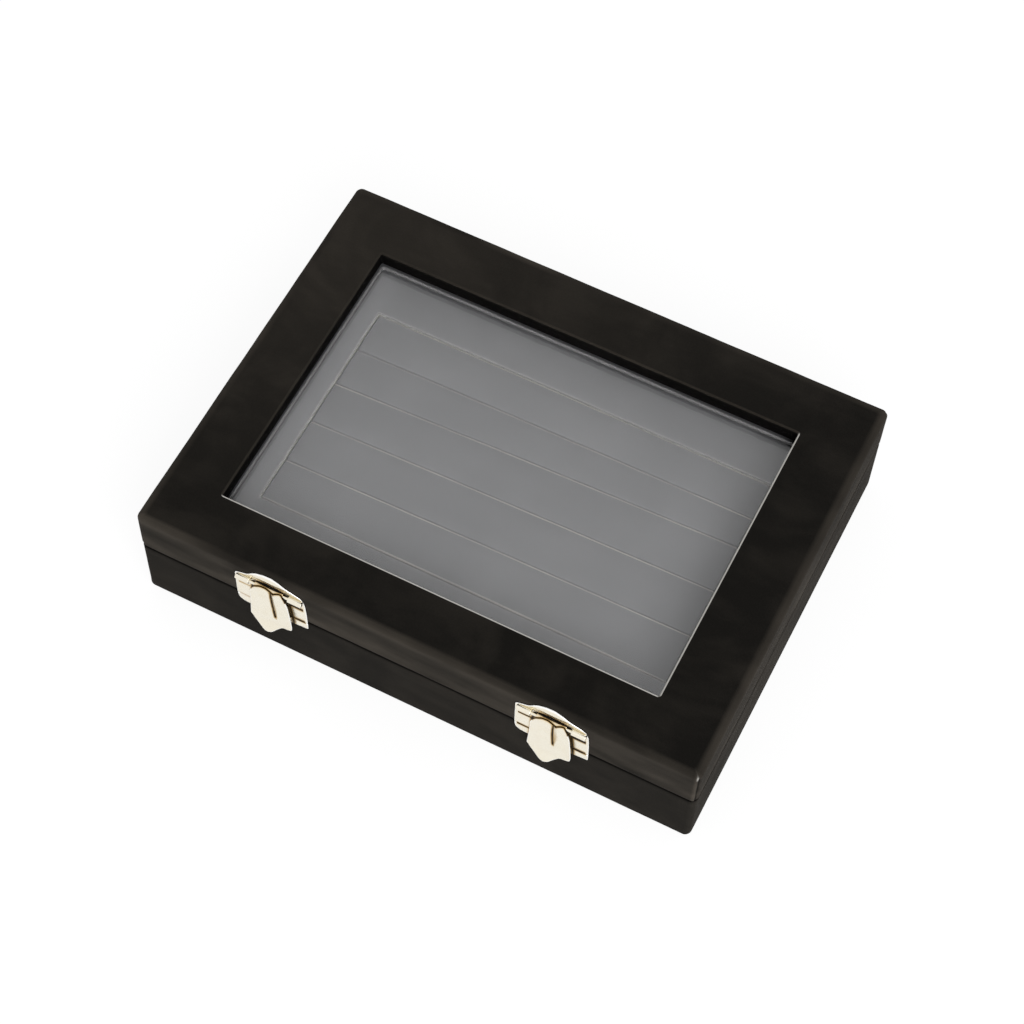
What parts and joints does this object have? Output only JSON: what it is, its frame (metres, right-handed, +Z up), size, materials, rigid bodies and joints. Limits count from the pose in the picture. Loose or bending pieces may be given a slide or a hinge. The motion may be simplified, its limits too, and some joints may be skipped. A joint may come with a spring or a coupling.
{
  "type": "cufflink display box",
  "caption": "Velvet-covered case with a hinged glazed lid, padded slotted rolls inside and pressed metal latches with hanging tongues.",
  "frame": {"origin": "on the table, under the middle of the whole object's bounding box", "axes": "+X to the right along the case's width, -Y out of the front with the latches, +Z up"},
  "size_m": [0.2, 0.1572, 0.046],
  "materials": {
    "black_velvet": "black short-pile velvet, lighter where the pile is seen edge on",
    "grey_velvet": "mid grey short-pile velvet with brushed patches",
    "board": "raw pressed fibre board",
    "foam": "open-cell foam",
    "card": "grey card",
    "underside_paper": "black embossed paper",
    "latch_metal": "pale champagne-plated pressed sheet, polished",
    "hinge_metal": "pale champagne-plated sheet, satin",
    "screw_metal": "plated, polished",
    "glass": "clear float glass"
  },
  "bodies": {
    "base": {"base_floor": "board", "base_front_wall": "board", "base_back_wall": "board", "base_left_wall": "board", "base_right_wall": "board", "base_velvet": "black_velvet", "underside_sheet": "underside_paper", "base_lining": "grey_velvet", "tray_floor": "card", "tray_deck": "grey_velvet", "deck_foam_front": "foam", "deck_foam_back": "foam", "deck_foam_left": "foam", "deck_foam_right": "foam", "cushion_roll_1": "grey_velvet", "cushion_roll_2": "grey_velvet", "cushion_roll_3": "grey_velvet", "cushion_roll_4": "grey_velvet", "cushion_roll_5": "grey_velvet", "base_hinge_screws": "screw_metal", "hinge_left_base_leaf": "hinge_metal", "hinge_left_pin": "hinge_metal", "hinge_right_base_leaf": "hinge_metal", "hinge_right_pin": "hinge_metal", "latch_left_catch": "latch_metal", "latch_right_catch": "latch_metal"},
    "lid": {"lid_top_board": "board", "lid_front_rail": "board", "lid_back_rail": "board", "lid_left_rail": "board", "lid_right_rail": "board", "lid_velvet": "black_velvet", "lid_lining": "grey_velvet", "glass_pane": "glass", "glass_spacer": "card", "glass_retainer": "grey_velvet", "hinge_left_lid_leaf": "hinge_metal", "hinge_right_lid_leaf": "hinge_metal", "lid_hinge_screws": "screw_metal", "latch_left_plate": "latch_metal", "latch_left_pin": "latch_metal", "latch_right_plate": "latch_metal", "latch_right_pin": "latch_metal"},
    "left_tongue": {"latch_left_tongue": "latch_metal"},
    "right_tongue": {"latch_right_tongue": "latch_metal"}
  },
  "joints": [
    {"name": "lid_hinge", "type": "hinge", "parent": "base", "child": "lid", "pos_m": [0, 0.07712, 0.0278], "axis": [-1, 0, 0], "range_deg": [0, 105]},
    {"name": "left_tongue_hinge", "type": "hinge", "parent": "lid", "child": "left_tongue", "pos_m": [-0.0502, -0.07602, 0.041], "axis": [-1, 0, 0], "range_deg": [0, 100]},
    {"name": "right_tongue_hinge", "type": "hinge", "parent": "lid", "child": "right_tongue", "pos_m": [0.0502, -0.07602, 0.041], "axis": [-1, 0, 0], "range_deg": [0, 100]}
  ]
}
